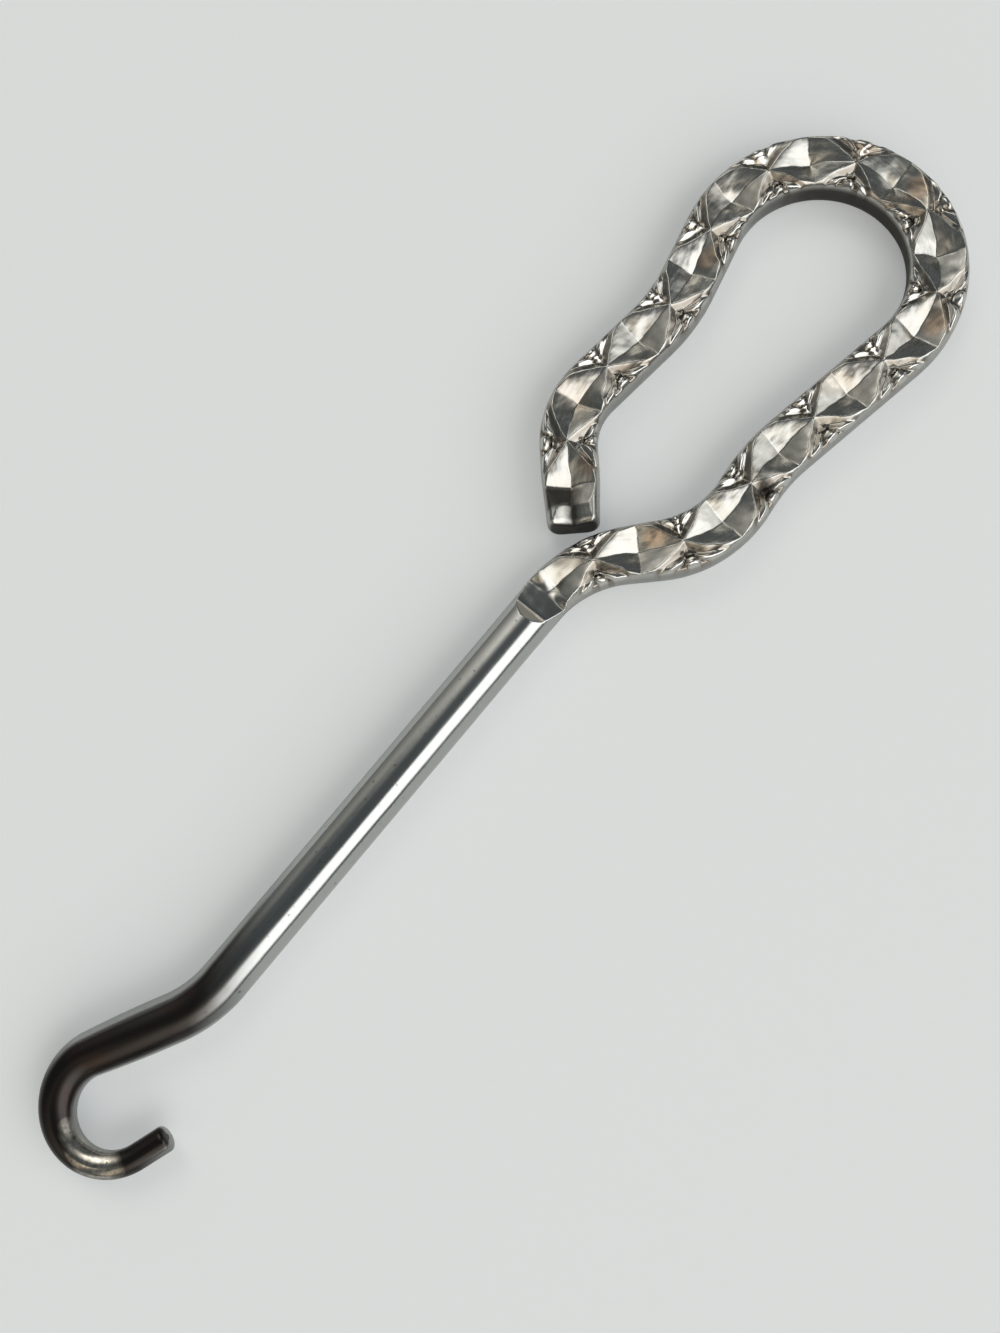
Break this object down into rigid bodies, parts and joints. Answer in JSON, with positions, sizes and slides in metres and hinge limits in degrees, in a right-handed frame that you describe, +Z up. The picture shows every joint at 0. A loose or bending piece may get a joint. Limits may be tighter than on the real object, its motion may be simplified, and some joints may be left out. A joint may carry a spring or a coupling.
{
  "type": "button hook",
  "caption": "Small button hook bent from one plated steel wire: tapered hook, straight round shank and open waisted loop handle struck with diamonds.",
  "frame": {"origin": "under the middle of the whole hook, on the surface that it lies on", "axes": "+X along the shank from the hook to the handle, +Y towards the handle's free end, +Z up out of the struck face"},
  "size_m": [0.0852, 0.0192, 0.0032],
  "materials": {
    "hook_wire": "polished, darkened by handling, plate worn thin",
    "shank_wire": "bright nickel plate with fine scratches and pits",
    "struck_wire": "bright nickel plate, warm where worn, dark in the recesses"
  },
  "bodies": {
    "root": {"hook": "hook_wire", "shank": "shank_wire", "handle": "struck_wire"}
  },
  "joints": []
}
